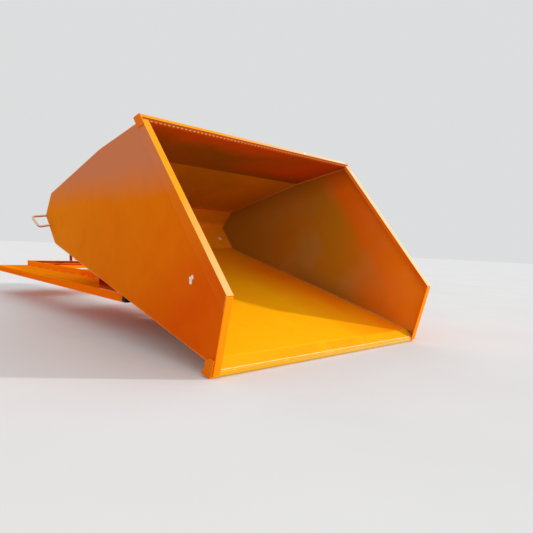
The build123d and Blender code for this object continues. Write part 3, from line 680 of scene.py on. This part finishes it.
def lip_paint():
    """The lip: amber, the orange paint as it looks lit, painted light, paler to the left as painted highlight."""
    finish = Finish("lip_amber", **bin_turn)
    # painted highlight toward the left
    left = drift(finish, finish.part(finish.row, 0), *LIP_LEFT, ragged=0.2)
    coat = finish.mix(left, LIP_AMBER, LIP_HIGHLIGHT)
    film, rough, layers = sprayed_enamel(finish, coat, coat, AMBER_DEEP, grime=0.04, chips=0.01)
    return finish.surface(film, rough, layers, Specular_IOR_Level=0.03)


def worn_edge(name, coat, wear, upright=True):
    """Thin paint on cut edges, rubbed pale in places and through to the steel in a few."""
    finish = Finish(name, **(bin_turn if upright else {}))
    film, rough, layers = sprayed_enamel(finish, coat, coat, ORANGE, grime=0.05)
    thin = finish.noise(low=THIN_LOW - wear, high=THIN_HIGH - wear, **THIN_PAINT)
    film = finish.tint(film, WELD_PALE, thin, amount=0.6)
    bare = finish.noise(**BARE_SPOT)
    film = finish.tint(film, BARE_STEEL, bare, amount=0.7)
    layers.append((finish.inverse(bare), 0.5, 0.0005))
    return finish.surface(film, rough, layers, Specular_IOR_Level=0.06)


def bead_paint(name, colour, upright=True):
    """Paint over a weld bead: cloudy and pale, with darker specks of spatter."""
    finish = Finish(name, **(bin_turn if upright else {}))
    film, rough, layers = sprayed_enamel(finish, colour, WELD_PALE, ORANGE_DEEP, grime=0.1)
    spatter = finish.noise(**SPATTER)
    film = finish.tint(film, ORANGE_DEEP, spatter, amount=0.5)
    layers.append((spatter, 0.4, 0.0006))
    return finish.surface(film, rough, layers, Specular_IOR_Level=0.2)


def plated_steel():
    """Bright zinc plate: soft grey with drawn lines, spangle, dull white bloom and a little rust."""
    finish = Finish("zinc_plate")
    spangle = finish.add("TexVoronoi", {"Vector": finish.where, "Scale": SPANGLE_SCALE}).outputs["Color"]
    film = finish.tint(ZINC_LIGHT, ZINC_DARK, finish.window(finish.part(spangle, 0), 0.0, 1.0), amount=0.30)
    bloom = finish.noise(**ZINC_BLOOM)
    film = finish.tint(film, ZINC_WHITE, bloom, amount=0.55)
    rust = finish.noise(**RUST_SPOT)
    film = finish.tint(film, RUST_BROWN, rust, amount=0.6)
    drawn = finish.noise(**DRAWN_LINE)
    rough = finish.roughness(0.26, (bloom, 0.25), (drawn, 0.12))
    return finish.surface(film, rough, [(drawn, 0.12, 0.0003), (rust, 0.25, 0.0003)], Metallic=0.85)


def moulded_rubber():
    """Black rubber: grey bloom, fine mould texture, dusty scuffs."""
    finish = Finish("black_rubber_moulding")
    bloom = finish.noise(**RUBBER_BLOOM)
    film = finish.tint(RUBBER_BLACK, RUBBER_GREY, bloom, amount=0.4)
    scuff = finish.noise(**RUBBER_SCUFF)
    film = finish.tint(film, RUBBER_DUST, scuff, amount=0.45)
    rough = finish.roughness(0.6, (bloom, 0.18))
    layers = [(finish.noise(**PEBBLE), 0.35, 0.0004), (scuff, 0.2, 0.0004)]
    return finish.surface(film, rough, layers, Specular_IOR_Level=0.12)


def bearing_bronze():
    """Cast bronze bush: warm metal, turned lines and brown tarnish."""
    finish = Finish("bearing_bronze")
    tarnish = finish.noise(**TARNISH)
    film = finish.mix(tarnish, BRONZE_BRIGHT, BRONZE_BROWN)
    turned = finish.noise(**TURNED_LINE)
    rough = finish.roughness(0.28, (tarnish, 0.2), (turned, 0.1))
    return finish.surface(film, rough, [(turned, 0.2, 0.0003)], Metallic=0.9)


side_orange = side_plate_paint()
wall_orange = wall_paint()
rim_amber = rim_paint("rim_amber")
bar_amber = rim_paint("bar_amber", legs=BAR_ORANGE, shaded_line=True)
strip_orange = painted("strip_orange", STRIP_ORANGE, AMBER_DEEP, ORANGE, grime=0.04, chips=0.005)
cap_orange = painted("cap_orange", CAP_ORANGE, ORANGE_PALE, ORANGE_DEEP, grime=0.05)
fitting_orange = painted(
    "fitting_orange", ORANGE, ORANGE_PALE, ORANGE_DEEP, grime=0.08, chips=0.02, upright=False)
# the lever and its cheeks dark red as painted shade
lever_red = painted("lever_red", LEVER_SHADE_RED, STOP_SHADE_RED, RED_OXIDE, grime=0.10, chips=0.02, upright=False)
chute_amber = chute_paint()
base_orange = base_paint("base_orange")
rail_orange = base_paint("rail_orange", coat=RAIL_ORANGE)
rear_beam_red = base_paint("rear_beam_red", front_shade=BEAM_SHADE)
inner_beam_red = base_paint("inner_beam_red", front_shade=BEAM_FACE_SHADE)
stop_red = stop_paint()
handle_rubbed = handle_paint()
lip_amber = lip_paint()
# the rear wall's cut edges dark as painted shade, with worn spots
wall_edge = worn_edge("wall_grimed_edge", EDGE_SHADE, wear=-0.10)
bin_edge = worn_edge("bin_cut_edge", ORANGE_PALE, wear=0.02)
rim_edge = worn_edge("rim_rubbed_edge", RIM_RUBBED, wear=0.10)
base_edge = worn_edge("base_cut_edge", BASE_PALE, wear=-0.02, upright=False)
zinc = plated_steel()
rubber = moulded_rubber()
bronze = bearing_bronze()
bin_bead = bead_paint("bin_bead_orange", ORANGE)
dull_bead = bead_paint("dull_bead", BEAD_DULL)
stitch_bead = bead_paint("stitch_bead", BEAD_STITCH)
pale_bead = bead_paint("pale_bead", BEAD_PALE)
base_bead = bead_paint("base_bead_orange", BASE_ORANGE, upright=False)


def pick_only(thing):
    ops.object.select_all(action="DESELECT")
    thing.select_set(True)
    context.view_layer.objects.active = thing


def settle(piece, name, body, slot, *materials):
    """Names a finished piece, gives it its finish and the body it moves with."""
    piece.name = name
    piece.data.name = name
    piece.data.materials.clear()
    for material in materials:
        piece.data.materials.append(material)
    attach(piece, body)


def mark_folds(mesh, axis):
    """Selects the long edges along an axis where two wide faces meet: bends and tube corners."""
    sides = {}
    for face in mesh.polygons:
        for key in face.edge_keys:
            sides.setdefault(key, []).append(face)
    for part in (mesh.vertices, mesh.polygons):
        part.foreach_set("select", [False] * len(part))
    for edge in mesh.edges:
        start, end = (mesh.vertices[corner].co for corner in edge.vertices)
        run = end - start
        faces = sides.get(edge.key, [])
        edge.select = False
        if len(faces) != 2 or run.length < LONG_EDGE or abs(run.normalized()[axis]) < STRAIGHT:
            continue
        widths = [max((mesh.vertices[corner].co - start).cross(run.normalized()).length
                      for corner in face.vertices) for face in faces]
        bent = faces[0].normal.angle(faces[1].normal) > math.radians(BEND_OVER)
        edge.select = bent and min(widths) > THIN_FACE


def eased(node, paint, edge_paint, edge=CUT_EDGE, fold=0.0, axis=0, slot="orange_paint"):
    """A finished copy of a CAD node: bends rolled to a radius and cut edges taken off."""
    piece = bpy.data.objects.new(node, nodes[node].data.copy())
    context.collection.objects.link(piece)
    pick_only(piece)
    ops.object.mode_set(mode="EDIT")
    ops.mesh.select_all(action="SELECT")
    ops.mesh.remove_doubles(threshold=MERGE)
    ops.mesh.customdata_custom_splitnormals_clear()
    ops.mesh.dissolve_limited(angle_limit=math.radians(FLAT_WITHIN))
    ops.mesh.select_mode(type="EDGE")
    if fold:
        ops.object.mode_set(mode="OBJECT")
        mark_folds(piece.data, axis)
        ops.object.mode_set(mode="EDIT")
        ops.mesh.bevel(offset=fold, segments=FOLD_STEPS, profile=0.5, affect="EDGES")
    ops.mesh.select_mode(type="VERT")
    ops.object.mode_set(mode="OBJECT")
    settle(piece, node + "_finished", body_of_node[node], slot, paint, edge_paint)
    piece.data.polygons.foreach_set("material_index", [0] * len(piece.data.polygons))
    ops.object.modifier_add(type="BEVEL")
    rounding = piece.modifiers[-1]
    rounding.width = edge
    rounding.segments = EDGE_STEPS
    rounding.limit_method = "ANGLE"
    rounding.angle_limit = math.radians(EDGE_OVER)
    rounding.material = 1
    ops.object.modifier_apply(modifier=rounding.name)
    ops.object.shade_smooth_by_angle(angle=math.radians(SHEET_SMOOTH))
    ops.object.modifier_add(type="WEIGHTED_NORMAL")
    piece.modifiers[-1].keep_sharp = True
    ops.object.modifier_apply(modifier=piece.modifiers[-1].name)
    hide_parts(node)


# sheets, sections, plates and pads
for hand, _ in SIDES:
    eased("side_plate_" + hand, side_orange, bin_edge)
    eased("side_rim_" + hand, rim_amber, rim_edge, edge=RIM_EDGE)
    eased("front_edge_bar_" + hand, strip_orange, strip_orange, edge=RIM_EDGE)
    eased("hinge_lug_" + hand, cap_orange, bin_edge)
    eased("fork_tube_" + hand, base_orange, base_edge, fold=TUBE_CORNER, axis=1)
    eased("side_channel_" + hand, base_orange, base_edge, fold=FOLD, axis=1)
    eased("front_buffer_" + hand, rubber, rubber, edge=BUFFER_EDGE, slot="black_rubber")
    eased("tip_stop_" + hand, stop_red, stop_red)
    eased("lever_cheek_" + hand, lever_red, lever_red)
    for cheek in ("pivot_cheeks_", "chain_lug_", "latch_cheek_"):
        eased(cheek + hand, base_orange, base_edge)
eased("rear_wall", wall_orange, wall_edge, fold=FOLD)
eased("heel_plate", wall_orange, bin_edge, fold=FOLD)
eased("chute_plate", chute_amber, rim_edge, fold=FOLD)
eased("rear_rim_bar", bar_amber, rim_edge, edge=BAR_EDGE, fold=SMALL_FOLD)
eased("lip_bar", lip_amber, lip_amber, edge=BAR_EDGE, fold=FOLD)
for cap in ("rear_bar_caps", "lip_bar_caps"):
    eased(cap, cap_orange, bin_edge)
eased("chute_stiffener", cap_orange, bin_edge, fold=SMALL_FOLD)
eased("keeper_lugs", cap_orange, bin_edge)
eased("rear_cross_beam", rear_beam_red, rear_beam_red, fold=BEAM_FOLD)
eased("inner_cross_beam", inner_beam_red, base_edge, fold=BEAM_FOLD)
TUBE_BEAMS = ("latch_beam", "pivot_beam", "front_cross_beam")
for beam in TUBE_BEAMS:
    eased(beam, base_orange, base_edge, fold=FOLD)
eased("rear_deck_plate", base_orange, base_edge)
eased("fork_rails", rail_orange, base_edge)
for pad in ("rest_pads", "stop_pads"):
    eased(pad, rubber, rubber, slot="black_rubber")
eased("latch_hook", fitting_orange, base_edge)
eased("release_lever", lever_red, lever_red)

# finishes of the solids that show as they are
solid_finish = {"zinc_steel": zinc, "black_rubber": rubber, "bronze": bronze}
for node, thing in nodes.items():
    finish_here = solid_finish.get(slot_of_node[node], fitting_orange)
    if node.startswith("grab_handle"):
        finish_here = handle_rubbed
    thing.data.materials.clear()
    thing.data.materials.append(finish_here)


def bead_run(start, end, size):
    """One weld bead: a thin rod with rippled rings and drawn-in ends, laid from start to end."""
    length = (end - start).length
    ops.object.select_all(action="DESELECT")
    ops.mesh.primitive_cylinder_add(vertices=BEAD_FACETS, radius=size, depth=length)
    run = context.active_object
    rings = max(FEWEST_RINGS, round(length / RIPPLE))
    ops.object.mode_set(mode="EDIT")
    ops.mesh.select_mode(type="EDGE")
    ops.mesh.select_all(action="DESELECT")
    ops.object.mode_set(mode="OBJECT")
    for edge in run.data.edges:
        low, high = (run.data.vertices[corner].co.z for corner in edge.vertices)
        edge.select = abs(high - low) > length / 2
    ops.object.mode_set(mode="EDIT")
    ops.mesh.subdivide(number_cuts=rings - 1)
    ops.mesh.select_mode(type="VERT")
    for first, step, swell in ((1, 2, RIPPLE_SWELL), (0, rings, BEAD_END)):
        ops.mesh.select_all(action="DESELECT")
        ops.object.mode_set(mode="OBJECT")
        for corner in run.data.vertices:
            ring = round((corner.co.z / length + 0.5) * rings)
            corner.select = ring % step == first
        ops.object.mode_set(mode="EDIT")
        ops.transform.resize(value=(swell, swell, 1))
    ops.object.mode_set(mode="OBJECT")
    lie = (end - start).to_track_quat("Z", "Y").to_matrix().to_4x4()
    run.data.transform(Matrix.Translation((start + end) / 2) @ lie)
    return run


def laid(runs, name, body, paint):
    """Joins laid beads into one piece and smooths it."""
    ops.object.select_all(action="DESELECT")
    for run in runs:
        run.select_set(True)
        run.matrix_world = Matrix.Identity(4)
    context.view_layer.objects.active = runs[0]
    ops.object.join()
    ops.object.shade_smooth_by_angle(angle=math.radians(BEAD_SMOOTH))
    settle(runs[0], name, body, "orange_paint", paint)


def stitches(start, end, size, long, pitch):
    """Short beads set out evenly along a line: one is modelled and the rest are its copies."""
    way = end - start
    count = max(1, int(way.length / pitch))
    first = bead_run(Vector((0, 0, -long / 2)), Vector((0, 0, long / 2)), size)
    lie = way.to_track_quat("Z", "Y").to_matrix().to_4x4()
    row = []
    for number in range(count):
        bead = first if number == count - 1 else first.copy()
        if bead is not first:
            bead.data = first.data.copy()
            context.collection.objects.link(bead)
        bead.data.transform(Matrix.Translation(start + way * (number + 0.5) / count) @ lie)
        row.append(bead)
    return row


def upright(x, y, z):
    """A place in the upright bin's frame, taken to the rest pose."""
    return upright_to_row @ Vector((x, y, z))


def across_bin(place, size):
    """A bead across the bin's inside at an upright place (y, z)."""
    return bead_run(upright(-half_inside, *place), upright(half_inside, *place), size)


def outline(node):
    """A flat plate's corners (y, z) in the upright bin's frame, in order round their middle."""
    points = {(round(p.y, 4), round(p.z, 4)) for p in upright_points(node)}
    middle = [sum(point[i] for point in points) / len(points) for i in (0, 1)]
    return sorted(points, key=lambda p: math.atan2(p[1] - middle[1], p[0] - middle[0]))


def inset(corners, depth):
    """The same outline moved inwards by a depth."""
    moved = []
    for here, corner in enumerate(corners):
        before, after = Vector(corners[here - 1]), Vector(corners[(here + 1) % len(corners)])
        into, out = (Vector(corner) - before).normalized(), (after - Vector(corner)).normalized()
        lean = Vector((-into.y, into.x)) + Vector((-out.y, out.x))
        moved.append(Vector(corner) + lean * (depth * 2 / lean.length_squared))
    return moved


def round_mouth(start, end):
    """True for the plate's edges round the mouth, where no sheet is welded on."""
    return max(start[1], end[1]) >= rim_height - RIM_SLACK and start[0] != end[0]


# beads along the side plates' seams
plate_corners = outline("side_plate_right")
rim_height = max(point[1] for point in plate_corners)
seam_inside = inset(plate_corners, SHEET + SEAM_OFF)
seam_outside = inset(plate_corners, SEAM_SINK)
inner_beads, outer_beads = [], []
for at, corner in enumerate(plate_corners):
    following = (at + 1) % len(plate_corners)
    if round_mouth(corner, plate_corners[following]):
        continue
    for _, side in SIDES:
        for beads, seam, x, size in ((inner_beads, seam_inside, plate_inner - SEAM_OFF, FILLET),
                                     (outer_beads, seam_outside, plate_outer - SEAM_SKIN, CORNER_BEAD)):
            ends = [upright(side * x, *seam[i]) for i in (at, following)]
            beads.append(bead_run(*ends, size))
laid(inner_beads, "bin_inside_beads", "bin", dull_bead)
laid(outer_beads, "bin_corner_beads", "bin", bin_bead)

# beads across the bin, and stitches under the side rims
foot_back = Vector(max(plate_corners, key=lambda p: -p[0]))
toe = Vector(max(plate_corners, key=lambda p: p[0] - LOW_COUNTS * p[1]))
lip = Vector(max(plate_corners, key=lambda p: p[0]))
half_inside = plate_inner - SEAM_CLEAR
chute_way = (lip - toe).normalized()
off_chute = Vector((-chute_way.y, chute_way.x))
cross_beads = [
    across_bin(foot_back + HEEL_BEAD_AT, FILLET),
    across_bin(toe + chute_way * TOE_ALONG + off_chute * (SHEET + TOE_OFF), FILLET),
    across_bin(toe + TOE_BEAD_AT, CORNER_BEAD),
]
rim_points = upright_points("side_rim_right")
rim_foot = min(p.z for p in rim_points)
rim_back = min(p.y for p in rim_points)
rim_front = max(p.y for p in rim_points)
for _, side in SIDES:
    leg = side * (plate_outer + LEG_OFF)
    leg_ends = upright(leg, rim_back, rim_foot), upright(leg, rim_front - LEG_FRONT, rim_foot)
    cross_beads += stitches(*leg_ends, *LEG_STITCH)
laid(cross_beads, "bin_cross_beads", "bin", bin_bead)

# stitches under the rear bar, and the bead along the lip
stitch_line = (flange_face + REAR_STITCH_AT[0], flange_top + REAR_STITCH_AT[1])
stitch_ends = [upright(x, *stitch_line) for x in (-half_inside, half_inside)]
rear_stitches = stitches(*stitch_ends, *REAR_STITCH)
laid(rear_stitches, "rear_stitch_beads", "bin", stitch_bead)
nose_tip = max(upright_points("chute_plate"), key=lambda p: p.y + HIGH_COUNTS * p.z)
lip_bead = across_bin(Vector((nose_tip.y, nose_tip.z)) - LIP_BEAD_BACK, LIP_BEAD)
laid([lip_bead], "lip_bead", "bin", pale_bead)


def foot_beads(node):
    """Fillets along both faces of a plate that stands on a flat top."""
    low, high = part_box(node)
    return [bead_run(Vector((x, low.y + END_GAP, low.z)), Vector((x, high.y - END_GAP, low.z)), FILLET)
            for x in (low.x, high.x)]


def beam_beads(low, high, x, foot, rim):
    """Fillets round the end of a cross member: along its top and up both faces."""
    rows = [bead_run(Vector((x, low.y + BEAM_GAP, rim)), Vector((x, high.y - BEAM_GAP, rim)), FILLET)]
    for y in (low.y, high.y):
        rows.append(bead_run(Vector((x, y, foot)), Vector((x, y, rim - BEAM_GAP)), FILLET))
    return rows


# beads of the base
base_beads = []
tube_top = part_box("fork_tube_right")[1].z
for hand, side in SIDES:
    for plate in ("latch_cheek_", "lever_cheek_", "tip_stop_", "pivot_cheeks_"):
        base_beads += foot_beads(plate + hand)
    tube_low, tube_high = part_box("fork_tube_" + hand)
    tube_inner, tube_outer = (tube_low.x, tube_high.x) if side > 0 else (tube_high.x, tube_low.x)
    channel_low, channel_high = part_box("side_channel_" + hand)
    channel_ends = [Vector((tube_outer, y, channel_high.z)) for y in (channel_low.y, tube_high.y)]
    base_beads += stitches(*channel_ends, *CHANNEL_STITCH)
    for beam in TUBE_BEAMS:
        low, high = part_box(beam)
        rim = high.z - BEAM_TOP if high.z < tube_top - BEAM_TOP else tube_top - TUBE_CORNER
        base_beads += beam_beads(low, high, tube_inner, BEAM_FOOT, rim)
    rail_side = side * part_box("rear_cross_beam")[1].x
    for beam in ("rear_cross_beam", "inner_cross_beam"):
        low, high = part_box(beam)
        base_beads += beam_beads(low, high, rail_side, low.z + END_GAP, high.z - END_GAP)
    low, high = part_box("chain_lug_" + hand)
    for x in (low.x, high.x):
        lug_ends = [Vector((x, high.y, z)) for z in (low.z + END_GAP, high.z - END_GAP)]
        base_beads.append(bead_run(*lug_ends, FILLET))
laid(base_beads, "base_beads", body_of_node["fork_tube_right"], base_bead)

# floor
ops.object.select_all(action="DESELECT")
ops.mesh.primitive_plane_add(size=FLOOR_SIZE, location=(0, 0, cad_low.z))
floor = context.active_object
floor.name = "floor"
floor_finish = Finish("pale_floor")
floor_tone = floor_finish.mix(floor_finish.noise(**FLOOR_CLOUD), FLOOR_GREY, FLOOR_PALE)
floor.data.materials.append(floor_finish.surface(floor_tone, FLOOR_ROUGH, Specular_IOR_Level=0.0))


def sun(place, way, power, spread):
    """A sun that shines along a way, its disc so many degrees wide."""
    ops.object.light_add(type="SUN", location=place)
    lamp = context.active_object
    lamp.rotation_euler = way.to_track_quat("-Z", "Y").to_euler()
    lamp.data.energy = power
    lamp.data.angle = math.radians(spread)


sun(KEY_AT, KEY_WAY, KEY_POWER, KEY_SPREAD)
sun(FILL_AT, FILL_WAY, FILL_POWER, FILL_SPREAD)

# pale world, a little darker where it is seen than where it lights
world = bpy.data.worlds.new("pale_studio")
context.scene.world = world
world.use_nodes = True
sky = world.node_tree.nodes
rays = sky.new("ShaderNodeLightPath")
seen = rays.outputs["Is Camera Ray"]
for ray in ("Is Glossy Ray", "Is Transmission Ray"):
    either = sky.new("ShaderNodeMath")
    either.operation = "MAXIMUM"
    world.node_tree.links.new(seen, either.inputs[0])
    world.node_tree.links.new(rays.outputs[ray], either.inputs[1])
    seen = either.outputs[0]
tone = sky.new("ShaderNodeMixRGB")
tone.inputs["Color1"].default_value = SKY_GREY
tone.inputs["Color2"].default_value = BACKDROP
world.node_tree.links.new(seen, tone.inputs["Fac"])
world.node_tree.links.new(tone.outputs[0], sky["Background"].inputs["Color"])

# the photograph's camera
ops.object.camera_add(location=CAMERA_AT)
camera = context.active_object
camera.rotation_euler = [math.radians(angle) for angle in CAMERA_TURN]
camera.data.sensor_width = SENSOR_WIDTH
camera.data.lens = LENS
camera.data.shift_x, camera.data.shift_y = LENS_SHIFT
context.scene.camera = camera
context.scene.view_settings.view_transform = "Standard"
